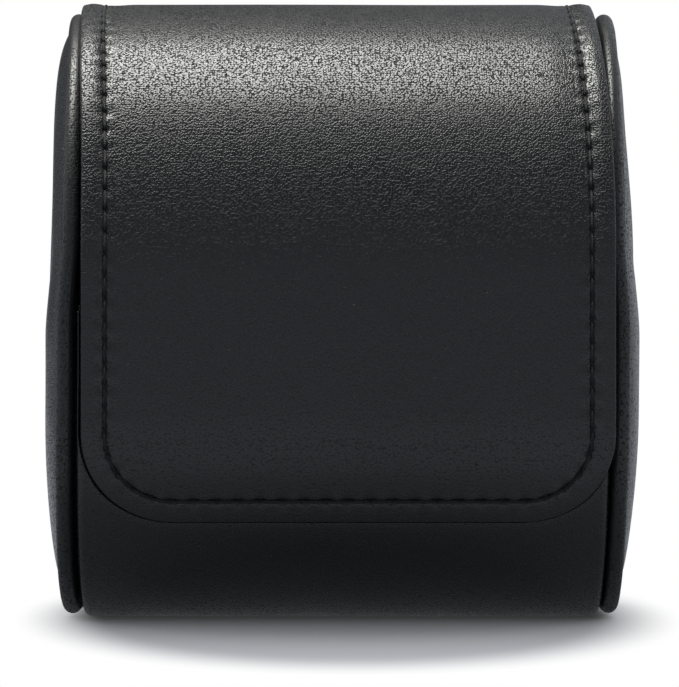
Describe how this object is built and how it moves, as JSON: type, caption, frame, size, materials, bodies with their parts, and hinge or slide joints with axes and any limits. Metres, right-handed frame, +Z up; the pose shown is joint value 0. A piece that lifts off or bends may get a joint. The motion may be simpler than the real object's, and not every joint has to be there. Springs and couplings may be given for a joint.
{
  "type": "watch travel case",
  "caption": "Rounded leather travel case for one watch, with piped padded end panels, a stitched flap with a hidden magnetic snap, and a loose cushion inside.",
  "frame": {"origin": "middle of the flat face that the case stands on", "axes": "+X to the right seen from the front, where the flap closes; -Y out of the front; +Z up"},
  "size_m": [0.094, 0.0889, 0.0993],
  "materials": {
    "black_leather": "satin",
    "grey_lining": "matte",
    "cushion_cloth": "matte",
    "grey_board": "matte",
    "foam": "matte",
    "black_thread": "satin",
    "piping_cord": "matte",
    "dark_nickel": "polished",
    "magnet": "satin"
  },
  "bodies": {
    "case": {"body_board": "grey_board", "body_padding": "foam", "body_leather": "black_leather", "body_lining": "grey_lining", "left_end_board": "grey_board", "right_end_board": "grey_board", "left_end_padding": "foam", "right_end_padding": "foam", "left_end_leather": "black_leather", "right_end_leather": "black_leather", "left_end_lining": "grey_lining", "right_end_lining": "grey_lining", "left_piping": "black_leather", "right_piping": "black_leather", "left_piping_cord": "piping_cord", "right_piping_cord": "piping_cord", "hinge_tail": "black_leather", "hinge_stitching": "black_thread", "clasp_socket": "dark_nickel", "clasp_magnet": "magnet", "clasp_socket_washer": "dark_nickel"},
    "flap": {"flap_leather": "black_leather", "flap_padding": "foam", "flap_board": "grey_board", "flap_lining": "grey_lining", "flap_stitching": "black_thread", "clasp_stud": "dark_nickel", "clasp_stud_washer": "dark_nickel"},
    "cushion": {"cushion_core": "foam", "cushion_cover": "cushion_cloth", "cushion_left_cap": "cushion_cloth", "cushion_right_cap": "cushion_cloth"}
  },
  "joints": [
    {"name": "flap_hinge", "type": "hinge", "parent": "case", "child": "flap", "pos_m": [0, 0.03161, 0.08591], "axis": [-1, 0, 0], "range_deg": [0, 165]},
    {"name": "cushion_lift", "type": "slide", "parent": "case", "child": "cushion", "axis": [0, 0, 1], "range_m": [0, 0.02]}
  ]
}
